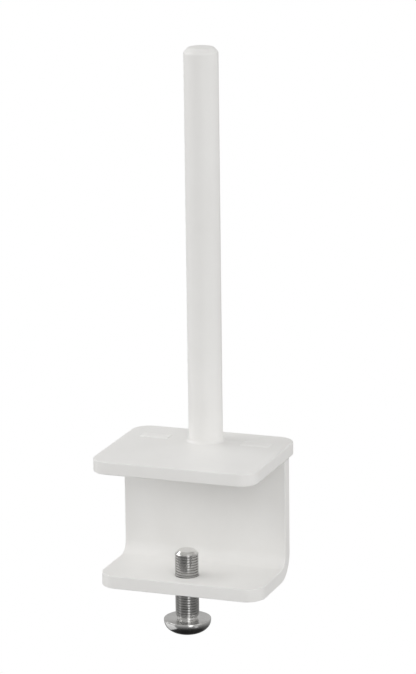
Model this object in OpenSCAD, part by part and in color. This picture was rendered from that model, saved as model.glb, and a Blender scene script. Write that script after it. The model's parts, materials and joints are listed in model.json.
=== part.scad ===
// Desk clamp with an upright round post, all sizes in millimetres.
// A bent steel bracket and a top plate make a jaw that goes over a desk's edge, and a screw
// through the flange closes the jaw from below. The post carries a lamp or another arm.
// The origin is where the desk's top edge meets the clamp, at the middle of its width: z = 0 is
// the underside of the top plate and y = 0 is the inner face of the back wall. +Z is up the
// post, and the desk comes in from -Y.

/* [Sheet metal] */
// Thickness of the plate, the back wall and the flange, with their coating
sheet_t = 6.1; // [4:0.1:10]
// Width of the plate, the wall and the flange
clamp_w = 80; // [66:1:120]

/* [Top plate] */
// Reach of the top plate in front of the back wall
plate_reach = 45.4; // [36:0.2:80]
// Overhang of the top plate behind the back wall
plate_overhang = 13.1; // [8:0.1:30]
// Radius of the top plate's corners
plate_corner_r = 8.6; // [3:0.1:15]

/* [Bracket] */
// Opening of the jaw, from the top plate down to the flange
jaw_h = 51.2; // [38:0.2:90]
// Reach of the flange in front of the back wall
flange_reach = 37.6; // [32:0.2:70]
// Inner radius of the bend between the wall and the flange
bend_r = 6.1; // [3:0.1:10]
// Radius of the flange's front corners
flange_corner_r = 9; // [3:0.1:12]

/* [Tabs] */
// Width of each tab that passes up through the top plate
tab_w = 14; // [8:0.5:16]
// Distance from the middle of the clamp to each tab's centre
tab_x = 25; // [20:0.5:30]
// Gap between a tab and each side of its slot
slot_gap = 0.1; // [0.05:0.05:0.3]
// Depth of a tab's end below the top of the plate
tab_sink = 1.2; // [0.6:0.1:2]

/* [Post] */
// Diameter of the post
post_d = 16; // [12:0.5:22]
// Height of the post above the top plate
post_h = 185.5; // [80:0.5:400]
// Chamfer around the top of the post
post_chamfer = 2.2; // [0.5:0.1:3]
// Diameter of the spigot that locates the post in the top plate
spigot_d = 10; // [6:0.5:11]
// Radial gap between the spigot and its hole
spigot_gap = 0.05; // [0.02:0.01:0.1]
// Distance from the spigot's end to the underside of the plate
spigot_sink = 0.3; // [0.2:0.1:1]

/* [Welds] */
// Bevel at the foot of the post, which the weld fills
foot_bevel = 1.6; // [1:0.1:2.4]
// Width of the weld around the post's foot, outside the post
foot_weld_w = 1.6; // [1:0.1:3]
// Height that a tab's weld stands above the top plate
tab_weld_rise = 0.3; // [0.2:0.1:0.8]
// Leg of the weld along the back of the wall, under the plate
seam_weld_leg = 4; // [2:0.5:7]
// Distance from each end of the back seam weld to the side of the clamp
seam_weld_inset = 6; // [2:1:20]

/* [Clamp screw] */
// Outer diameter of the screw's thread
screw_d = 11; // [8:0.5:14]
// Length of the screw from the head's bearing face to the tip
screw_l = 33; // [26:0.5:60]
// Height of the screw's tip above the flange
tip_rise = 12; // [2:0.5:20]
// Distance from the screw's axis to the back wall
screw_y = 24.5; // [18:0.5:26]
// Radial gap between the thread's crest and the hole in the flange
screw_gap = 0.05; // [0.02:0.01:0.1]
// Height of the chamfer at the screw's tip
tip_chamfer_h = 1.3; // [0.5:0.1:2]
// Width of the chamfer at the screw's tip
tip_chamfer_w = 1.5; // [0.5:0.1:2.5]
// Height of the plain neck under the head
neck_h = 1.2; // [0.5:0.1:2]
// Depth of the neck below the thread's crest
neck_depth = 0.8; // [0.3:0.1:1.2]
// Diameter of the button head
head_d = 22; // [17:0.5:28]
// Height of the button head
head_h = 7.3; // [5:0.1:10]
// Fullness of the head's dome, where 2 is an ellipse and more is squarer
dome_fullness = 2.3; // [2:0.1:3]
// Distance across the flats of the hex socket
socket_af = 7; // [5:1:8]
// Depth of the hex socket
socket_depth = 4; // [2.5:0.5:6]

/* [Hidden] */
$fn = 96;
plate_z = sheet_t;                     // top of the top plate
post_y = sheet_t / 2;                  // the post stands over the middle of the wall
post_r = post_d / 2;
flange_top = -jaw_h;
flange_bottom = -jaw_h - sheet_t;
bend_outer_r = bend_r + sheet_t;
slot_w = tab_w + 2 * slot_gap;
slot_t = sheet_t + 2 * slot_gap;
tip_z = flange_top + tip_rise;
bearing_z = tip_z - screw_l;           // the head's flat face, which looks up at the flange
screw_r = screw_d / 2;
head_r = head_d / 2;
through = 1;                           // how far a cut runs past the faces that it opens
pad_inset = 0.5;                       // the raised top of a tab's weld, in from its slot's edge
dome_step = 7.5;                       // degrees between the points of the head's dome

// A rectangle with four round corners, from x0, y0 to x1, y1
module rounded_rectangle(x0, y0, x1, y1, r) {
    translate([x0 + r, y0]) square([x1 - x0 - 2 * r, y1 - y0]);
    translate([x0, y0 + r]) square([x1 - x0, y1 - y0 - 2 * r]);
    for (x = [x0 + r, x1 - r], y = [y0 + r, y1 - r])
        translate([x, y]) circle(r = r);
}

// A block of the slot's width, centred on one tab (side is -1 or 1)
module slot_block(side, w, t, z0, z1) {
    translate([side * tab_x - w / 2, sheet_t / 2 - t / 2, z0]) cube([w, t, z1 - z0]);
}

module top_plate() {
    color("whitesmoke") difference() {
        linear_extrude(plate_z)
            rounded_rectangle(-clamp_w / 2, -plate_reach, clamp_w / 2,
                              sheet_t + plate_overhang, plate_corner_r);
        for (side = [-1, 1])
            slot_block(side, slot_w, slot_t, -through, plate_z + through);
        translate([0, post_y, -through])
            cylinder(r = spigot_d / 2 + spigot_gap, h = plate_z + 2 * through);
    }
}

// The bracket's section across its width: the wall, the bend and the flange.
// The drawing's x is the row's -y, and its y is the row's z.
module bracket_section() {
    translate([-sheet_t, flange_top + bend_r]) square([sheet_t, jaw_h - bend_r]);
    translate([bend_r, flange_bottom]) square([flange_reach - bend_r, sheet_t]);
    intersection() {
        translate([bend_r, flange_top + bend_r]) difference() {
            circle(r = bend_outer_r);
            circle(r = bend_r);
        }
        translate([-sheet_t, flange_bottom]) square(bend_outer_r);
    }
}

// What is cut away to round one front corner of the flange
module flange_corner_cut(side) {
    r = flange_corner_r;
    translate([side * (clamp_w / 2 - r), -flange_reach + r, flange_bottom - through])
        difference() {
            translate([side > 0 ? 0 : -r - through, -r - through, 0])
                cube([r + through, r + through, sheet_t + 2 * through]);
            cylinder(r = r, h = sheet_t + 2 * through);
        }
}

module clamp_bracket() {
    color("whitesmoke") {
        difference() {
            translate([-clamp_w / 2, 0, 0]) rotate([90, 0, 90]) linear_extrude(clamp_w)
                mirror([1, 0]) bracket_section();
            for (side = [-1, 1]) flange_corner_cut(side);
            translate([0, -screw_y, flange_bottom - through])
                cylinder(r = screw_r + screw_gap, h = sheet_t + 2 * through);
        }
        for (side = [-1, 1])
            slot_block(side, tab_w, sheet_t, -through, plate_z - tab_sink);
    }
}

module post() {
    color("whitesmoke") translate([0, post_y, 0]) rotate_extrude() polygon([
        [0, spigot_sink], [spigot_d / 2, spigot_sink], [spigot_d / 2, plate_z],
        [post_r - foot_bevel, plate_z], [post_r, plate_z + foot_bevel],
        [post_r, plate_z + post_h - post_chamfer],
        [post_r - post_chamfer, plate_z + post_h], [0, plate_z + post_h]]);
}

// The bead fills the bevel under the post and runs out onto the plate in a hollow curve
module post_weld() {
    color("whitesmoke") translate([0, post_y, plate_z]) rotate_extrude() difference() {
        polygon([[post_r - foot_bevel, 0], [post_r + foot_weld_w, 0],
                 [post_r + foot_weld_w, foot_bevel], [post_r, foot_bevel]]);
        translate([post_r + foot_weld_w, foot_bevel])
            circle(r = min(foot_weld_w, foot_bevel) - 0.1);
    }
}

// Weld in the mouth of a tab's slot, with its dressed top just proud of the plate
module tab_weld(side) {
    color("whitesmoke") {
        slot_block(side, slot_w, slot_t, plate_z - tab_sink, plate_z);
        slot_block(side, slot_w - pad_inset, slot_t - pad_inset,
                   plate_z, plate_z + tab_weld_rise / 2);
        slot_block(side, slot_w - 2 * pad_inset, slot_t - 2 * pad_inset,
                   plate_z, plate_z + tab_weld_rise);
    }
}

module left_tab_weld() tab_weld(-1);
module right_tab_weld() tab_weld(1);

module back_seam_weld() {
    length = clamp_w - 2 * seam_weld_inset;
    color("whitesmoke") translate([-length / 2, sheet_t, 0]) rotate([90, 0, 90])
        linear_extrude(length)
            polygon([[0, 0], [seam_weld_leg, 0], [0, -seam_weld_leg]]);
}

module clamp_screw() {
    neck_r = screw_r - neck_depth;
    power = 2 / dome_fullness;
    dome = [for (a = [0:dome_step:90 - dome_step])
        [head_r * pow(cos(a), power), bearing_z - head_h * pow(sin(a), power)]];
    color("silver") translate([0, -screw_y, 0]) difference() {
        rotate_extrude() polygon(concat(
            [[0, tip_z], [screw_r - tip_chamfer_w, tip_z], [screw_r, tip_z - tip_chamfer_h],
             [screw_r, bearing_z + neck_h + neck_depth], [neck_r, bearing_z + neck_h],
             [neck_r, bearing_z]],
            dome, [[0, bearing_z - head_h]]));
        translate([0, 0, bearing_z - head_h - through])
            cylinder(d = socket_af / cos(30), h = socket_depth + through, $fn = 6);
    }
}

top_plate();
clamp_bracket();
post();
post_weld();
left_tab_weld();
right_tab_weld();
back_seam_weld();
clamp_screw();
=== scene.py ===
"""Looks of the desk clamp with its lamp post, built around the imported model. Metres, row frame."""

import json
import math

import bmesh
import bpy
from mathutils import Matrix, Vector

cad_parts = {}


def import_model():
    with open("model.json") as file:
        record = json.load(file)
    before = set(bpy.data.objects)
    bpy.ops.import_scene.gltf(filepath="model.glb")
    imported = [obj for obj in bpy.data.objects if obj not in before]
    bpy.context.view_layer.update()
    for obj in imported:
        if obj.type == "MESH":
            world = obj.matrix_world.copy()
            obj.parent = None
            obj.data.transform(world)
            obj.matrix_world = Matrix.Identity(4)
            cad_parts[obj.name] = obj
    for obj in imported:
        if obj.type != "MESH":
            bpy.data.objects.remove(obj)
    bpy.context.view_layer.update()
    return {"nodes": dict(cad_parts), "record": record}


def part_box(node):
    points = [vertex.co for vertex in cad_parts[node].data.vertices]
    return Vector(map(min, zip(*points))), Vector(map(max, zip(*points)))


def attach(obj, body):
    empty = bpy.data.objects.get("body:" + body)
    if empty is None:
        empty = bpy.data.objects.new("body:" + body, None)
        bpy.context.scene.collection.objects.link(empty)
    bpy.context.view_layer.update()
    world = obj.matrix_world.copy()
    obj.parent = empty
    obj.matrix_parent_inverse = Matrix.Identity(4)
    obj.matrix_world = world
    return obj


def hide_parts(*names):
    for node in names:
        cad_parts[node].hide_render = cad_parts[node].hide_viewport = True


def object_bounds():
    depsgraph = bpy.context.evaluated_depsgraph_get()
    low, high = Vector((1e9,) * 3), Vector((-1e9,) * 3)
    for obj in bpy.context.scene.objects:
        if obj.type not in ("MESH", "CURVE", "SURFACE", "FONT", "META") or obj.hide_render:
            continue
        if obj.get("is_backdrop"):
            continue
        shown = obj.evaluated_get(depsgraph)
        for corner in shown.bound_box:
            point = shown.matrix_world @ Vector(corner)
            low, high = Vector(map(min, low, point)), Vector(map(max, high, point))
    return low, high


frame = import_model()

MM = 0.001

# ---------------------------------------------------------------- sizes read from the frame
MOUNTS = {m["name"]: m for m in frame["record"]["mounts"]}
POST_AXIS = Vector(MOUNTS["post"]["pos_m"])
POST_R = MOUNTS["post"]["dims"]["r_mm"] * MM
SCREW_AXIS = Vector(MOUNTS["screw_tip"]["pos_m"])
PLATE_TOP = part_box("top_plate")[1].z
TIP_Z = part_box("clamp_screw")[1].z
POST_LOW, POST_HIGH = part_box("post")
WELD_LOW, WELD_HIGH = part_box("post_weld")
SEAM_LOW, SEAM_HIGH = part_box("back_seam_weld")
TAB_BOXES = {side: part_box(side + "_tab_weld") for side in ("left", "right")}
FOOT_BEVEL = WELD_HIGH.z - WELD_LOW.z       # the post's bevel, which the weld at its foot fills

# ---------------------------------------------------------------- sheet metal
EDGE_R = 0.55 * MM            # edges of the sheet, rounded by tumbling and coating
EDGE_STEPS = 4
SHARP_ANGLE = math.radians(30)
FLAT_ANGLE = math.radians(0.5)
SAME_POINT = 1e-7             # points nearer than this are one
SLOT_MARGIN = 0.2 * MM        # how far round a tab's weld the edges stay unrounded
FLAT_WEIGHT = 100             # how strongly the flat faces set the normals of the rounded edges

# ---------------------------------------------------------------- post, as in the CAD model
POST_SIDES = 144
POST_CHAMFER = 2.2 * MM
POST_EASE = 0.7 * MM          # softening at both ends of the chamfer
POST_TOP_RING_R = 0.5 * MM    # innermost ring of the post's flat top
SPIGOT_R = 5 * MM

# ---------------------------------------------------------------- screw, as in the CAD model
SCREW_SIDES = 96              # a multiple of 12, so that points fall on the socket's corners
THREAD_R = 5.5 * MM
NECK_DEPTH = 0.8 * MM
NECK_H = 1.2 * MM
TIP_CHAMFER_W = 1.5 * MM
TIP_CHAMFER_H = 1.3 * MM
TIP_RING_R = 1.5 * MM         # innermost ring of the tip's flat face
SHANK_L = 33 * MM
HEAD_R = 11 * MM
HEAD_H = 7.3 * MM
DOME_FULLNESS = 2.3
DOME_STEPS = 32
SOCKET_AF = 7 * MM
SOCKET_DEPTH = 4 * MM
BEARING_Z = TIP_Z - SHANK_L
NECK_Z = BEARING_Z + NECK_H

# details that the CAD model leaves out
THREAD_PITCH = 1.25 * MM
THREAD_DEPTH = 0.42 * MM
THREAD_CREST, THREAD_ROOT = 0.45, 0.15      # shares of the pitch that are flat
HEAD_RIM = 0.35 * MM          # rounding of the head's edge
HEAD_RIM_STEPS = 4
SOCKET_LEAD_W = 0.35 * MM     # chamfer round the socket's mouth, measured at its corners
SOCKET_LEAD_H = 0.3 * MM
SOCKET_FLOOR_R = 0.4 * SOCKET_AF            # flat in the middle of the socket's floor
SOCKET_FLOOR_H = 0.1 * MM     # how far up that flat is from the floor's corners
SCREW_MERGE = 1e-6            # merges the thread's points where its ends cut it flat
TURNED_EDGE = math.radians(28)

# ---------------------------------------------------------------- welds
WELD_CREASE = math.radians(50)
RIPPLE_PITCH = 1.3 * MM       # one ripple of a bead for each puddle of the weld
RIPPLE_DEPTH = 0.12 * MM
FOOT_STATIONS = 240
FOOT_STEPS = 8
FOOT_HOLLOW = 1.2             # over 1 makes the bead's face hollower than a quarter of a circle
PAD_CORNER_R = 0.8 * MM
PAD_CORNER_LEAST_R = 0.2 * MM
PAD_CORNER_STEPS = 8
PAD_EDGE = 0.45 * MM          # how far a dressed tab weld's rounded edge comes in
PAD_EDGE_STEPS = 5
PAD_SHOULDER = 0.7            # share of the weld's rise that its rounded edge takes
PAD_RIDGE = 0.15 * MM         # half the width of the flat along its crown
PAD_CROWN_STEPS = 6
SEAM_STATIONS = 300
SEAM_STEPS = 12
SEAM_SIZE = 0.9               # share of the CAD weld's leg that the bead fills
SEAM_END = 1e-4               # keeps the bead's tapered ends from closing to a point
SEAM_BOW = 0.22               # how far the crescents of the ripples trail at the bead's edges
SEAM_CALM = 0.5               # share of the ripples' depth that is lost at the bead's edges
SEAM_SWELL = 0.07             # how much fuller the bead is than a flat fillet

# ---------------------------------------------------------------- materials
NOISE_LOW, NOISE_HIGH = 0.3, 0.7            # the range that a noise texture mostly keeps to
WAVE_SCALE = 60               # scales are noise cells a metre
PEEL_SCALE = 900
GRAIN_SCALE = 4200
PEEL_STRENGTH = 0.7
GRAIN_DEPTH = 0.012 * MM
GRAIN_STRENGTH = 0.5
COAT_ROUGHNESS = (0.36, 0.46)
COAT_SPECULAR = 0.4
COAT_WHITE = ((0.867, 0.860, 0.845), (0.887, 0.882, 0.868))
COAT_PEEL = 0.06 * MM
# lighter than the coat's white: painted highlight for the sheen on the dressed tab welds' crowns
PAINTED_HIGHLIGHT_WHITE = ((0.915, 0.908, 0.893), (0.93, 0.924, 0.91))
GROUND_PEEL = 0.03 * MM
SMUDGE_SCALE = 260
MARK_SCALE = 7000
SCRATCH_SCALE = 5200
MARK_DEPTH = 0.004 * MM
MARK_STRENGTH = 0.5
SCRATCH_STRENGTH = 0.4
STEEL_ROUGHNESS = (0.13, 0.22)
TURNED_STEEL = ((0.80, 0.797, 0.785), (0.88, 0.876, 0.866))
# a darker copy of the steel for the thread: painted shade for the dark look of its flanks and grooves
ROLLED_STEEL_WITH_PAINTED_SHADE = ((0.44, 0.437, 0.43), (0.50, 0.497, 0.49))
THREAD_FADE = 0.25 * MM       # how gradually the rolled thread's darker steel, which is painted shade, begins

# ---------------------------------------------------------------- stage, light and camera
FLOOR_Z = -2.8                # below every view's camera
STAGE_R = 8.0                 # radius of the floor and of the backdrop
WORLD_TINT = (1.0, 0.995, 0.985, 1)
# brightness of the world at heights from 0, straight down, to 1, straight up
WORLD_LIGHT = [(0.0, 0.36), (0.35, 0.38), (0.55, 0.4), (0.7, 1.42), (0.78, 0.96), (0.93, 0.12),
               (1.0, 0.0)]
MIRRORED_LIGHT = [(0.0, 0.01), (0.1, 0.02), (0.22, 0.12), (0.35, 0.36), (0.55, 0.4), (0.65, 0.5),
                  (1.0, 0.3)]
# each soft box's name, azimuth and elevation in degrees, width and height in metres, and watts
SOFT_BOXES = [("left_box", -84, 32, 1.2, 1.0, 8.0),
              ("right_box", 80, 22, 1.0, 0.9, 2.2),
              ("back_right_box", 125, 42, 0.9, 0.9, 1.5),
              ("back_left_box", -140, 44, 0.9, 0.9, 0.6),
              ("streak_box", 36, 13, 0.6, 2.6, 5.8),
              ("low_left_box", -84, -38, 1.9, 0.8, 2.6),
              ("low_right_box", 66, -33, 0.4, 0.25, 0.15)]
BOX_DISTANCE = 1.5
BOX_AIM = Vector((0, -0.01, 0.02))
CAMERA_AIM = Vector((2.3, 1.5, 56.3)) * MM
CAMERA_AZIMUTH, CAMERA_ELEVATION = 20.2, 14.38
CAMERA_ROLL = 0.715
CAMERA_DISTANCE = 1.6156
CAMERA_LENS = 186.55          # millimetres, for a sensor 36 mm wide
SENSOR_WIDTH = 36.0


# ================================================================ helpers
def put_in_scene(name, data):
    thing = bpy.data.objects.new(name, data)
    bpy.context.scene.collection.objects.link(thing)
    return thing


def add_piece(name, mesh, body, replaced, material):
    """A finished piece that rides on a body, stands for a CAD node and takes a finish."""
    piece = put_in_scene(name, mesh)
    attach(piece, body)
    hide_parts(replaced)
    piece.data.materials.append(material)
    return piece


def mesh_from(bm, name, smooth=True):
    bmesh.ops.recalc_face_normals(bm, faces=bm.faces)
    mesh = bpy.data.meshes.new(name)
    bm.to_mesh(mesh)
    bm.free()
    mesh.polygons.foreach_set("use_smooth", [smooth] * len(mesh.polygons))
    return mesh


def ring_skin(rings, centre):
    """A closed skin through rings of equal length, with a pole at the first ring and the last."""
    bm = bmesh.new()
    rows = [[bm.verts.new(p) for p in ring] for ring in rings]
    sides = len(rings[0])
    for low, high in zip(rows, rows[1:]):
        for i in range(sides):
            j = (i + 1) % sides
            bm.faces.new((low[i], low[j], high[j], high[i]))
    for row, z in ((rows[0], rings[0][0].z), (rows[-1], rings[-1][0].z)):
        pole = bm.verts.new((centre.x, centre.y, z))
        for i in range(sides):
            bm.faces.new((row[i], row[(i + 1) % sides], pole))
    return bm


def around(centre, radius, angle, z):
    return Vector((centre.x + radius * math.cos(angle), centre.y + radius * math.sin(angle), z))


def circle(centre, radius, z, sides):
    return [around(centre, radius, 2 * math.pi * i / sides, z) for i in range(sides)]


def eased(points, radius, steps=3):
    """A profile of (r, z) points with its inner corners rounded to about the radius given."""
    longest = 0.45            # share of a straight stretch that one corner's rounding may take
    out = [points[0]]
    for before, corner, after in zip(points, points[1:], points[2:]):
        a, c, b = Vector(before), Vector(corner), Vector(after)
        reach = min(radius, (a - c).length * longest, (b - c).length * longest)
        start = c + (a - c).normalized() * reach
        end = c + (b - c).normalized() * reach
        for k in range(steps + 1):
            t = k / steps
            p = start * (1 - t) ** 2 + c * 2 * t * (1 - t) + end * t ** 2
            out.append((p.x, p.y))
    out.append(points[-1])
    return out


# ================================================================ materials
def shader(name):
    material = bpy.data.materials.new(name)
    material.use_nodes = True
    nodes = material.node_tree.nodes
    return material, nodes, material.node_tree.links, nodes["Principled BSDF"]


def noise(nodes, links, coords, scale, detail):
    texture = nodes.new("ShaderNodeTexNoise")
    texture.inputs["Scale"].default_value = scale
    texture.inputs["Detail"].default_value = detail
    links.new(coords, texture.inputs["Vector"])
    return texture.outputs["Fac"]


def value_range(nodes, links, value, low, high):
    """A noise texture's value, spread over the range from low to high."""
    spread = nodes.new("ShaderNodeMapRange")
    spread.inputs["From Min"].default_value = NOISE_LOW
    spread.inputs["From Max"].default_value = NOISE_HIGH
    spread.inputs["To Min"].default_value = low
    spread.inputs["To Max"].default_value = high
    links.new(value, spread.inputs["Value"])
    return spread.outputs["Result"]


def colour_range(nodes, links, value, low, high):
    """A noise texture's value, turned into a colour between low and high."""
    blend = nodes.new("ShaderNodeValToRGB")
    for stop, place, colour in zip(blend.color_ramp.elements, (NOISE_LOW, NOISE_HIGH), (low, high)):
        stop.position = place
        stop.color = (*colour, 1)
    links.new(value, blend.inputs["Fac"])
    return blend.outputs["Color"]


def bump(nodes, links, height, distance, strength, onto=None):
    b = nodes.new("ShaderNodeBump")
    b.inputs["Distance"].default_value = distance
    b.inputs["Strength"].default_value = strength
    links.new(height, b.inputs["Height"])
    if onto is not None:
        links.new(onto, b.inputs["Normal"])
    return b.outputs["Normal"]


def powder_coat(name, white, peel_depth):
    """White satin powder coat: fine orange peel, and a slight long wave in its shade."""
    material, nodes, links, bsdf = shader(name)
    place = nodes.new("ShaderNodeTexCoord").outputs["Object"]
    peel = noise(nodes, links, place, PEEL_SCALE, detail=2)
    grain = noise(nodes, links, place, GRAIN_SCALE, detail=1)
    wave = noise(nodes, links, place, WAVE_SCALE, detail=3)
    links.new(colour_range(nodes, links, wave, *white), bsdf.inputs["Base Color"])
    links.new(value_range(nodes, links, peel, *COAT_ROUGHNESS), bsdf.inputs["Roughness"])
    coarse = bump(nodes, links, peel, peel_depth, PEEL_STRENGTH)
    fine = bump(nodes, links, grain, GRAIN_DEPTH, GRAIN_STRENGTH, coarse)
    links.new(fine, bsdf.inputs["Normal"])
    bsdf.inputs["Specular IOR Level"].default_value = COAT_SPECULAR
    return material


def bright_steel():
    """Bare bright steel with turning marks round the screw's axis, and painted shade: a darker colour
    on the rolled thread.
    """
    material, nodes, links, bsdf = shader("bright_steel")
    place = nodes.new("ShaderNodeTexCoord").outputs["Object"]
    smudge = noise(nodes, links, place, SMUDGE_SCALE, detail=3)
    mix = nodes.new("ShaderNodeMix")
    mix.data_type = "RGBA"
    # the thread takes the darker steel, which is painted shade
    links.new(thread_shade_mask(nodes, links, place), mix.inputs["Factor"])
    links.new(colour_range(nodes, links, smudge, *TURNED_STEEL), mix.inputs["A"])
    links.new(colour_range(nodes, links, smudge, *ROLLED_STEEL_WITH_PAINTED_SHADE), mix.inputs["B"])
    links.new(mix.outputs["Result"], bsdf.inputs["Base Color"])
    links.new(value_range(nodes, links, smudge, *STEEL_ROUGHNESS), bsdf.inputs["Roughness"])
    turned = bump(nodes, links, turning_marks(nodes, links, place), MARK_DEPTH, MARK_STRENGTH)
    scratches = noise(nodes, links, place, SCRATCH_SCALE, detail=2)
    fine = bump(nodes, links, scratches, MARK_DEPTH, SCRATCH_STRENGTH, turned)
    links.new(fine, bsdf.inputs["Normal"])
    bsdf.inputs["Metallic"].default_value = 1.0
    return material


def thread_shade_mask(nodes, links, place):
    """Where the thread's painted shade goes: 1 on the thread and 0 on the turned tip and head, by
    height along the screw.
    """
    split = nodes.new("ShaderNodeSeparateXYZ")
    links.new(place, split.inputs[0])
    edges = []
    for z, sign in ((NECK_Z, 1), (TIP_Z - TIP_CHAMFER_H, -1)):
        edge = nodes.new("ShaderNodeMapRange")
        edge.inputs["From Min"].default_value = z - sign * THREAD_FADE
        edge.inputs["From Max"].default_value = z + sign * THREAD_FADE
        links.new(split.outputs["Z"], edge.inputs["Value"])
        edges.append(edge.outputs["Result"])
    both = nodes.new("ShaderNodeMath")
    both.operation = "MINIMUM"
    links.new(edges[0], both.inputs[0])
    links.new(edges[1], both.inputs[1])
    return both.outputs[0]


def turning_marks(nodes, links, place):
    marks = nodes.new("ShaderNodeTexNoise")
    marks.noise_dimensions = "1D"
    marks.inputs["Scale"].default_value = MARK_SCALE
    marks.inputs["Detail"].default_value = 2
    links.new(turning_coordinate(nodes, links, place), marks.inputs["W"])
    return marks.outputs["Fac"]


def turning_coordinate(nodes, links, place):
    """Distance from the screw's axis plus height, so that its marks run round the axis everywhere."""
    split = nodes.new("ShaderNodeSeparateXYZ")
    links.new(place, split.inputs[0])
    flat = nodes.new("ShaderNodeCombineXYZ")
    links.new(split.outputs["X"], flat.inputs["X"])
    links.new(split.outputs["Y"], flat.inputs["Y"])
    reach = nodes.new("ShaderNodeVectorMath")
    reach.operation = "DISTANCE"
    links.new(flat.outputs[0], reach.inputs[0])
    reach.inputs[1].default_value = (SCREW_AXIS.x, SCREW_AXIS.y, 0)
    total = nodes.new("ShaderNodeMath")
    total.operation = "ADD"
    links.new(reach.outputs["Value"], total.inputs[0])
    links.new(split.outputs["Z"], total.inputs[1])
    return total.outputs[0]


COAT = powder_coat("white_powder_coat", COAT_WHITE, COAT_PEEL)
# the tab welds' coat: a finer peel, and a lighter white that is painted highlight
GROUND_COAT_WITH_PAINTED_HIGHLIGHT = powder_coat("coat_over_ground_weld_with_painted_highlight", PAINTED_HIGHLIGHT_WHITE, GROUND_PEEL)
STEEL = bright_steel()


# ================================================================ sheet metal
def in_tab_slot(point):
    """Whether a point is on a tab or its slot, where the welds cover the edges."""
    margin = Vector((1, 1, 1)) * SLOT_MARGIN
    return any(all(a <= c <= b for a, c, b in zip((low - margin).xy, point.xy, (high + margin).xy))
               for low, high in TAB_BOXES.values())


def soft_edged_copy(node, name):
    """The CAD node's own shape with every sharp edge rounded, as sheet steel has under its coating."""
    bm = bmesh.new()
    bm.from_mesh(frame["nodes"][node].data)
    bmesh.ops.remove_doubles(bm, verts=bm.verts, dist=SAME_POINT)
    bmesh.ops.dissolve_limit(bm, angle_limit=FLAT_ANGLE, verts=bm.verts, edges=bm.edges)
    sharp = [e for e in bm.edges if e.is_manifold and e.calc_face_angle(0) > SHARP_ANGLE
             and not any(in_tab_slot(v.co) for v in e.verts)]
    bmesh.ops.bevel(bm, geom=sharp, offset=EDGE_R, offset_type="OFFSET", segments=EDGE_STEPS,
                    profile=0.5, affect="EDGES", clamp_overlap=True)
    return mesh_from(bm, name)


def weigh_normals(piece):
    weigh = piece.modifiers.new("flat_faces", "WEIGHTED_NORMAL")
    weigh.weight = FLAT_WEIGHT
    weigh.keep_sharp = True


for node in ("top_plate", "clamp_bracket"):
    sheet = add_piece(node + "_coated", soft_edged_copy(node, node + "_coated"),
                      "clamp", node, COAT)
    weigh_normals(sheet)


# ================================================================ post
def post_mesh():
    top = POST_HIGH.z
    foot = [(SPIGOT_R, POST_LOW.z), (SPIGOT_R, PLATE_TOP), (POST_R - FOOT_BEVEL, PLATE_TOP)]
    shaft = eased([(POST_R, PLATE_TOP + FOOT_BEVEL), (POST_R, top - POST_CHAMFER),
                   (POST_R - POST_CHAMFER, top), (POST_TOP_RING_R, top)], POST_EASE)
    rings = [circle(POST_AXIS, r, z, POST_SIDES) for r, z in foot + shaft]
    return mesh_from(ring_skin(rings, POST_AXIS), "post_coated")


weigh_normals(add_piece("post_coated", post_mesh(), "clamp", "post", COAT))


# ================================================================ screw
def thread_profile():
    """Places along one pitch, from 0 to 1, each with its height: 0 at the root, 1 at the crest."""
    flank = (1 - THREAD_CREST - THREAD_ROOT) / 2
    crest_end = flank + THREAD_CREST
    return [(0.0, 0.0), (flank / 2, 0.5), (flank, 1.0), (flank + THREAD_CREST / 2, 1.0),
            (crest_end, 1.0), (crest_end + flank / 2, 0.5), (crest_end + flank, 0.0),
            (1 - THREAD_ROOT / 2, 0.0)]


def thread_radius(z, height):
    """The radius of a point on the thread, which runs out at the neck and is chamfered at the tip."""
    run_out = min(1.0, (z - NECK_Z) / THREAD_PITCH)
    helix = THREAD_R - THREAD_DEPTH + THREAD_DEPTH * height * run_out
    chamfer = THREAD_R - TIP_CHAMFER_W + (TIP_Z - z) * TIP_CHAMFER_W / TIP_CHAMFER_H
    return min(helix, chamfer)


def thread_rings():
    """Rings that follow the helix from the tip down to the neck, cut flat at both ends."""
    profile = thread_profile()
    turns = math.ceil((TIP_Z - NECK_Z) / THREAD_PITCH) + 2
    rings = []
    for k in range(turns * len(profile)):
        place, height = profile[k % len(profile)]
        turn = k // len(profile) + place
        ring = []
        for i in range(SCREW_SIDES):
            z = TIP_Z + THREAD_PITCH - (turn + i / SCREW_SIDES) * THREAD_PITCH
            z = min(TIP_Z, max(NECK_Z, z))
            ring.append(around(SCREW_AXIS, thread_radius(z, height), 2 * math.pi * i / SCREW_SIDES, z))
        rings.append(ring)
    return rings


def head_rings():
    """The neck, the flat face under the flange, the head's rim and its dome down to the socket."""
    neck_r = THREAD_R - NECK_DEPTH
    rings = [circle(SCREW_AXIS, r, z, SCREW_SIDES)
             for r, z in eased([(neck_r, NECK_Z), (neck_r, BEARING_Z),
                                (HEAD_R - HEAD_RIM, BEARING_Z)], HEAD_RIM)]
    for k in range(1, HEAD_RIM_STEPS + 1):
        a = math.radians(90 * k / HEAD_RIM_STEPS)
        rings.append(circle(SCREW_AXIS, HEAD_R - HEAD_RIM * (1 - math.sin(a)),
                            BEARING_Z - HEAD_RIM * (1 - math.cos(a)), SCREW_SIDES))
    mouth_r = SOCKET_AF / 2 / math.cos(math.pi / 6) + SOCKET_LEAD_W
    power = 2 / DOME_FULLNESS
    stop = math.acos((mouth_r / HEAD_R) ** (1 / power))
    for k in range(1, DOME_STEPS + 1):
        a = stop * k / DOME_STEPS
        drop = HEAD_RIM + (HEAD_H - HEAD_RIM) * math.sin(a) ** power
        rings.append(circle(SCREW_AXIS, HEAD_R * math.cos(a) ** power, BEARING_Z - drop, SCREW_SIDES))
    return rings


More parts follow.
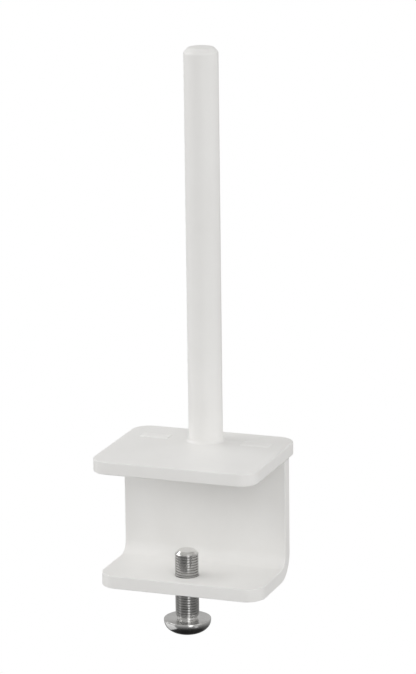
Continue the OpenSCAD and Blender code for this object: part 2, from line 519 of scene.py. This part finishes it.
def hex_ring(z):
    """A ring round the socket's hexagon that starts at the same angle as the round rings."""
    corner = math.pi / 6
    ring = []
    for i in range(SCREW_SIDES):
        angle = 2 * math.pi * i / SCREW_SIDES
        off = (angle + corner) % (2 * corner) - corner
        ring.append(around(SCREW_AXIS, SOCKET_AF / 2 / math.cos(off), angle + corner, z))
    shift = SCREW_SIDES // 12
    return ring[-shift:] + ring[:-shift]


def screw_mesh():
    rings = [circle(SCREW_AXIS, TIP_RING_R, TIP_Z, SCREW_SIDES)]
    rings += thread_rings() + head_rings()
    mouth_z = rings[-1][0].z
    floor_z = BEARING_Z - HEAD_H + SOCKET_DEPTH
    rings += [hex_ring(mouth_z + SOCKET_LEAD_H), hex_ring(floor_z),
              circle(SCREW_AXIS, SOCKET_FLOOR_R, floor_z + SOCKET_FLOOR_H, SCREW_SIDES)]
    bm = ring_skin(rings, SCREW_AXIS)
    bmesh.ops.remove_doubles(bm, verts=bm.verts, dist=SCREW_MERGE)
    bmesh.ops.dissolve_degenerate(bm, edges=bm.edges, dist=SAME_POINT)
    mesh = mesh_from(bm, "clamp_screw_threaded")
    mesh.set_sharp_from_angle(angle=TURNED_EDGE)
    return mesh


add_piece("clamp_screw_threaded", screw_mesh(), "screw", "clamp_screw", STEEL)


# ================================================================ welds
def ripple(along):
    """How far a bead's face stands in from its full size, at a distance along it."""
    phase = along / RIPPLE_PITCH % 1.0
    return RIPPLE_DEPTH * (1 - math.sin(math.pi * phase))


def tube_mesh(name, sections, looped):
    """A skin over sections of equal length, joined end to start or capped at both ends."""
    bm = bmesh.new()
    rows = [[bm.verts.new(p) for p in section] for section in sections]
    count = len(rows[0])
    following = rows[1:] + rows[:1] if looped else rows[1:]
    for here, there in zip(rows, following):
        for i in range(count):
            j = (i + 1) % count
            bm.faces.new((here[i], here[j], there[j], there[i]))
    if not looped:
        bm.faces.new(rows[0])
        bm.faces.new(rows[-1][::-1])
    return mesh_from(bm, name)


def foot_section(inset):
    """The foot bead's (r, z) section: it fills the bevel and runs out in a hollow curve."""
    outer = (WELD_HIGH.x - WELD_LOW.x) / 2
    hollow = outer - POST_R
    section = [(POST_R - FOOT_BEVEL, 0), (outer - inset, 0)]
    for k in range(1, FOOT_STEPS + 1):
        t = math.radians(90 * k / FOOT_STEPS)
        r = outer - inset - (hollow - inset) * math.sin(t) ** FOOT_HOLLOW
        section.append((r, (FOOT_BEVEL - inset) * (1 - math.cos(t)) ** FOOT_HOLLOW))
    return section


def foot_weld_mesh(name):
    """The bead around the post's foot."""
    outer = (WELD_HIGH.x - WELD_LOW.x) / 2
    sections = []
    for i in range(FOOT_STATIONS):
        angle = 2 * math.pi * i / FOOT_STATIONS
        sections.append([around(POST_AXIS, r, angle, WELD_LOW.z + z)
                         for r, z in foot_section(ripple(angle * outer))])
    return tube_mesh(name, sections, looped=True)


def rounded_outline(half_x, half_y, radius):
    """Points around a rectangle with round corners, centred on 0, 0."""
    points = []
    for sx, sy, start in ((1, 1, 0), (-1, 1, 90), (-1, -1, 180), (1, -1, 270)):
        for k in range(PAD_CORNER_STEPS + 1):
            a = math.radians(start + 90 * k / PAD_CORNER_STEPS)
            points.append((sx * (half_x - radius) + radius * math.cos(a),
                           sy * (half_y - radius) + radius * math.sin(a)))
    return points


def pad_levels(low, high):
    """A tab weld's outlines from its bottom up, each as how far in it is and its height."""
    rise = high.z - PLATE_TOP
    crown = (high.y - low.y) / 2 - PAD_EDGE - PAD_RIDGE
    levels = [(0.0, low.z), (0.0, PLATE_TOP)]
    for k in range(1, PAD_EDGE_STEPS + 1):
        a = math.radians(90 * k / PAD_EDGE_STEPS)
        levels.append((PAD_EDGE * (1 - math.cos(a)), PLATE_TOP + PAD_SHOULDER * rise * math.sin(a)))
    for k in range(1, PAD_CROWN_STEPS + 1):
        t = k / PAD_CROWN_STEPS
        share = PAD_SHOULDER + (1 - PAD_SHOULDER) * t * (2 - t)
        levels.append((PAD_EDGE + crown * t, PLATE_TOP + rise * share))
    return levels


def tab_weld_mesh(name, low, high):
    """A dressed weld in a tab's slot: a low pad with a rounded edge and a slightly crowned top."""
    centre = (low + high) / 2
    half_x, half_y = (high.x - low.x) / 2, (high.y - low.y) / 2
    sections = []
    for inset, z in pad_levels(low, high):
        corner_r = max(PAD_CORNER_R - inset, PAD_CORNER_LEAST_R)
        outline = rounded_outline(half_x - inset, half_y - inset, corner_r)
        sections.append([Vector((centre.x + x, centre.y + y, z)) for x, y in outline])
    return tube_mesh(name, sections, looped=False)


def seam_section(x, length, leg):
    """The seam bead's (y, z) section at a distance along it, from the corner that it fills."""
    end = min(1.0, min(x, length - x) / leg)
    size = SEAM_SIZE * math.sqrt(max(SEAM_END, end * (2 - end)))
    section = [(0.0, 0.0)]
    for k in range(SEAM_STEPS + 1):
        t = k / SEAM_STEPS
        across = 2 * t - 1
        inset = ripple(x + SEAM_BOW * leg * across ** 2)
        reach = leg * size - inset * (1 - SEAM_CALM * across ** 2)
        swell = 1 + SEAM_SWELL * (1 - across ** 2)
        section.append((reach * (1 - t) * swell, -reach * t * swell))
    return section


def seam_weld_mesh(name):
    """The bead along the back of the wall, with the ripples of its weld pool and tapered ends."""
    leg = SEAM_HIGH.y - SEAM_LOW.y
    length = SEAM_HIGH.x - SEAM_LOW.x
    sections = []
    for i in range(SEAM_STATIONS + 1):
        x = length * i / SEAM_STATIONS
        sections.append([Vector((SEAM_LOW.x + x, SEAM_LOW.y + y, SEAM_HIGH.z + z))
                         for y, z in seam_section(x, length, leg)])
    return tube_mesh(name, sections, looped=False)


def add_weld(mesh, node, material):
    mesh.set_sharp_from_angle(angle=WELD_CREASE)
    add_piece(mesh.name, mesh, "clamp", node, material)


add_weld(foot_weld_mesh("post_weld_bead"), "post_weld", COAT)
# the tab welds take the coat whose lighter white is painted highlight
for side, (low, high) in TAB_BOXES.items():
    add_weld(tab_weld_mesh(side + "_tab_weld_dressed", low, high), side + "_tab_weld", GROUND_COAT_WITH_PAINTED_HIGHLIGHT)
add_weld(seam_weld_mesh("back_seam_bead"), "back_seam_weld", COAT)


# ================================================================ stage, light and camera
def glowing_white(name):
    material = bpy.data.materials.new(name)
    material.use_nodes = True
    nodes = material.node_tree.nodes
    nodes.remove(nodes["Principled BSDF"])
    glow = nodes.new("ShaderNodeEmission")
    glow.inputs["Color"].default_value = (1, 1, 1, 1)
    glow.inputs["Strength"].default_value = 1.0
    material.node_tree.links.new(glow.outputs[0], nodes["Material Output"].inputs["Surface"])
    return material


def add_stage(name, mesh, hidden_rays):
    """A white surface round the object, left out of the light that the listed rays gather."""
    surface = put_in_scene(name, mesh)
    surface.data.materials.append(glowing_white(name + "_white"))
    for ray in hidden_rays:
        setattr(surface, "visible_" + ray, False)
    surface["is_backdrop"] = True


def stage():
    """A plain white floor far below, and a backdrop that only the camera sees."""
    bm = bmesh.new()
    bmesh.ops.create_circle(bm, cap_ends=True, radius=STAGE_R, segments=64,
                            matrix=Matrix.Translation((0, 0, FLOOR_Z)))
    add_stage("floor", mesh_from(bm, "floor", smooth=False), ("diffuse", "glossy", "shadow"))
    bm = bmesh.new()
    bmesh.ops.create_uvsphere(bm, u_segments=48, v_segments=24, radius=STAGE_R)
    add_stage("backdrop", mesh_from(bm, "backdrop"),
              ("diffuse", "glossy", "transmission", "volume_scatter", "shadow"))


def world():
    """Light from all round: dim below, brightest a little over the horizon, dark overhead.

    Bare metal mirrors the world, so glossy rays see one of their own that is darker, as black
    cards round the object give in a studio.
    """
    w = bpy.data.worlds.new("studio")
    bpy.context.scene.world = w
    w.use_nodes = True
    nodes, links = w.node_tree.nodes, w.node_tree.links
    split = nodes.new("ShaderNodeSeparateXYZ")
    links.new(nodes.new("ShaderNodeTexCoord").outputs["Generated"], split.inputs[0])
    height = nodes.new("ShaderNodeMapRange")
    height.inputs["From Min"].default_value = -1.0
    links.new(split.outputs["Z"], height.inputs["Value"])
    mix = nodes.new("ShaderNodeMix")
    links.new(nodes.new("ShaderNodeLightPath").outputs["Is Glossy Ray"], mix.inputs["Factor"])
    links.new(light_curve(nodes, links, height, WORLD_LIGHT), mix.inputs["A"])
    links.new(light_curve(nodes, links, height, MIRRORED_LIGHT), mix.inputs["B"])
    links.new(mix.outputs["Result"], nodes["Background"].inputs["Strength"])
    nodes["Background"].inputs["Color"].default_value = WORLD_TINT


def light_curve(nodes, links, height, points):
    """Brightness by height, in straight stretches between the points."""
    grade = nodes.new("ShaderNodeFloatCurve")
    curve = grade.mapping.curves[0]
    curve.points[0].location, curve.points[1].location = points[0], points[-1]
    for place in points[1:-1]:
        curve.points.new(*place)
    for point in curve.points:
        point.handle_type = "VECTOR"
    grade.mapping.update()
    links.new(height.outputs["Result"], grade.inputs["Value"])
    return grade.outputs["Value"]


def outward(azimuth, elevation):
    """The direction away from the object, with azimuth to the right of the row's front."""
    a, e = math.radians(azimuth), math.radians(elevation)
    return Vector((math.sin(a) * math.cos(e), -math.cos(a) * math.cos(e), math.sin(e)))


def soft_box(name, azimuth, elevation, width, height, power):
    """An area light aimed at the object."""
    data = bpy.data.lights.new(name, "AREA")
    data.shape = "RECTANGLE"
    data.size, data.size_y = width, height
    data.energy = power
    light = put_in_scene(name, data)
    away = outward(azimuth, elevation)
    light.location = BOX_AIM + away * BOX_DISTANCE
    light.rotation_mode = "QUATERNION"
    light.rotation_quaternion = (-away).to_track_quat("-Z", "Y")


def camera():
    """A long lens to the object's right front, a little above it."""
    data = bpy.data.cameras.new("camera")
    data.lens, data.sensor_width = CAMERA_LENS, SENSOR_WIDTH
    cam = put_in_scene("camera", data)
    away = outward(CAMERA_AZIMUTH, CAMERA_ELEVATION)
    roll = Matrix.Rotation(-math.radians(CAMERA_ROLL), 3, "Z").to_quaternion()
    cam.location = CAMERA_AIM + away * CAMERA_DISTANCE
    cam.rotation_mode = "QUATERNION"
    cam.rotation_quaternion = (-away).to_track_quat("-Z", "Y") @ roll
    bpy.context.scene.camera = cam


stage()
world()
for box in SOFT_BOXES:
    soft_box(*box)
camera()
bpy.context.scene.view_settings.view_transform = "Standard"

low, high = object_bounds()
